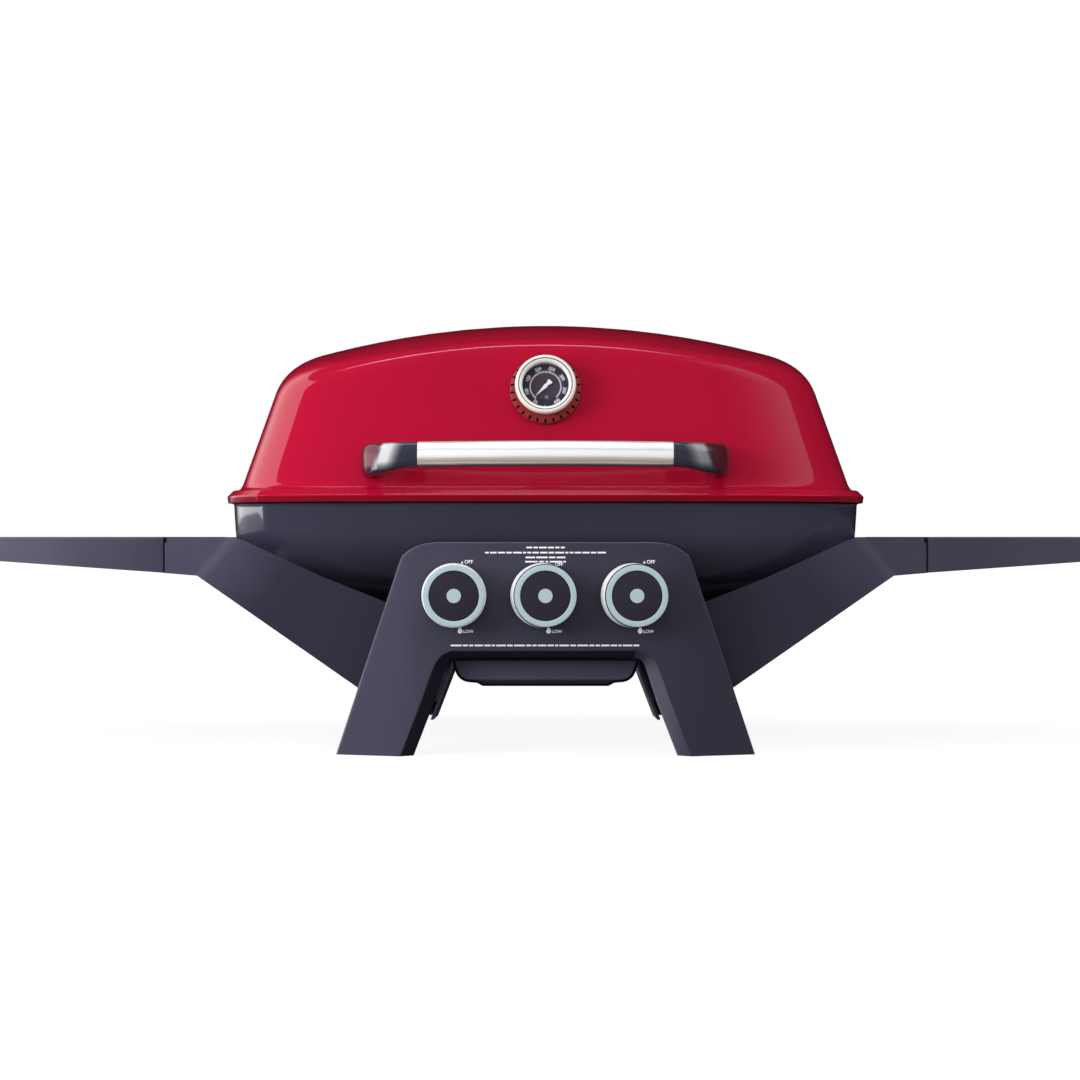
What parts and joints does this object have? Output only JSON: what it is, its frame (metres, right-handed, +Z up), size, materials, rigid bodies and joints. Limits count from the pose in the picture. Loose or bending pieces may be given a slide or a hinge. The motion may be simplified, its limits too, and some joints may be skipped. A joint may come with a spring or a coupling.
{
  "type": "portable tabletop grill",
  "caption": "Portable tabletop gas grill: arched red hinged hood with gauge and bar handle, dark bowl, splayed arch legs, turning control knobs, fold-up side tables and a pull-out drip tray.",
  "frame": {"origin": "on the resting plane, under the middle of the whole object with both side tables out", "axes": "+X to the user's right along the side tables, -Y towards the user, +Z up"},
  "size_m": [1.296, 0.546, 0.4334],
  "materials": {
    "hood_enamel": "high-gloss red enamel with a clear coat",
    "bowl_enamel": "semi-gloss blue-black enamel",
    "charcoal_moulding": "fine-textured charcoal moulding",
    "black_gloss": "glossy black",
    "bar_steel": "satin stainless steel",
    "bezel_chrome": "polished",
    "collar_red_brown": "satin red-brown",
    "knob_ring_metal": "polished skirt with a pale blue-grey face ring",
    "knob_face": "spun dark face",
    "dial_face": "matt dark dial",
    "needle_white": "white",
    "gauge_glass": "clear flat glass",
    "grate_iron": "matt enamelled iron",
    "burner_steel": "plain stainless steel",
    "brass": "machined",
    "foot_rubber": "matt black",
    "pin_steel": "bright steel"
  },
  "bodies": {
    "chassis": {"arm_left": "charcoal_moulding", "arm_right": "charcoal_moulding", "bowl": "bowl_enamel", "bowl_hinge_left": "bowl_enamel", "bowl_hinge_right": "bowl_enamel", "burner_centre": "burner_steel", "burner_left": "burner_steel", "burner_right": "burner_steel", "cooking_grate_left": "grate_iron", "cooking_grate_right": "grate_iron", "foot_front_left": "foot_rubber", "foot_front_right": "foot_rubber", "foot_rear_left": "foot_rubber", "foot_rear_right": "foot_rubber", "front_frame": "charcoal_moulding", "gas_inlet": "brass", "gas_manifold": "burner_steel", "heat_tent_centre": "burner_steel", "heat_tent_left": "burner_steel", "heat_tent_right": "burner_steel", "hood_hinge_pin_left": "pin_steel", "hood_hinge_pin_right": "pin_steel", "rear_frame": "charcoal_moulding", "table_hinge_pin_left": "pin_steel", "table_hinge_pin_right": "pin_steel", "tray_rail_left": "burner_steel", "tray_rail_right": "burner_steel", "valve_centre": "brass", "valve_left": "brass", "valve_right": "brass"},
    "lid": {"hood": "hood_enamel", "hood_hinge_left": "hood_enamel", "hood_hinge_right": "hood_enamel", "handle_bar": "bar_steel", "handle_bracket_left": "black_gloss", "handle_bracket_right": "black_gloss", "gauge_collar": "collar_red_brown", "gauge_case": "bezel_chrome", "gauge_dial": "dial_face", "gauge_glass": "gauge_glass", "gauge_stem": "pin_steel", "gauge_nut": "pin_steel"},
    "gauge_pointer": {"gauge_needle": "needle_white"},
    "left_table": {"side_table_left": "charcoal_moulding"},
    "right_table": {"side_table_right": "charcoal_moulding"},
    "tray": {"drip_tray": "charcoal_moulding"},
    "left_push": {"spring_seat_left": "pin_steel"},
    "left_control": {"knob_left": "knob_face", "knob_ring_left": "knob_ring_metal", "valve_stem_left": "pin_steel"},
    "centre_push": {"spring_seat_centre": "pin_steel"},
    "centre_control": {"knob_centre": "knob_face", "knob_ring_centre": "knob_ring_metal", "valve_stem_centre": "pin_steel"},
    "right_push": {"spring_seat_right": "pin_steel"},
    "right_control": {"knob_right": "knob_face", "knob_ring_right": "knob_ring_metal", "valve_stem_right": "pin_steel"}
  },
  "joints": [
    {"name": "hood_lift", "type": "hinge", "parent": "chassis", "child": "lid", "pos_m": [0, 0.2225, 0.2465], "axis": [-1, 0, 0], "range_deg": [0, 88]},
    {"name": "left_table_fold", "type": "hinge", "parent": "chassis", "child": "left_table", "pos_m": [-0.3745, 0, 0.209], "axis": [0, 1, 0], "range_deg": [0, 92]},
    {"name": "right_table_fold", "type": "hinge", "parent": "chassis", "child": "right_table", "pos_m": [0.3745, 0, 0.209], "axis": [0, -1, 0], "range_deg": [0, 92]},
    {"name": "drip_tray_pull", "type": "slide", "parent": "chassis", "child": "tray", "axis": [0, -1, 0], "range_m": [0, 0.25]},
    {"name": "gauge_pointer_turn", "type": "hinge", "parent": "lid", "child": "gauge_pointer", "pos_m": [0, -0.18257, 0.36123], "axis": [0, 0.9746, -0.2241], "range_deg": [0, 265], "stiffness_Nm_per_rad": 0.0005},
    {"name": "left_knob_push", "type": "slide", "parent": "chassis", "child": "left_push", "axis": [0, 1, 0], "range_m": [0, 0.003], "stiffness_N_per_m": 400},
    {"name": "left_knob_turn", "type": "hinge", "parent": "left_push", "child": "left_control", "pos_m": [-0.087, -0.275, 0.1554], "axis": [0, -1, 0], "range_deg": [0, 180]},
    {"name": "centre_knob_push", "type": "slide", "parent": "chassis", "child": "centre_push", "axis": [0, 1, 0], "range_m": [0, 0.003], "stiffness_N_per_m": 400},
    {"name": "centre_knob_turn", "type": "hinge", "parent": "centre_push", "child": "centre_control", "pos_m": [0, -0.275, 0.1554], "axis": [0, -1, 0], "range_deg": [0, 180]},
    {"name": "right_knob_push", "type": "slide", "parent": "chassis", "child": "right_push", "axis": [0, 1, 0], "range_m": [0, 0.003], "stiffness_N_per_m": 400},
    {"name": "right_knob_turn", "type": "hinge", "parent": "right_push", "child": "right_control", "pos_m": [0.087, -0.275, 0.1554], "axis": [0, -1, 0], "range_deg": [0, 180]}
  ]
}
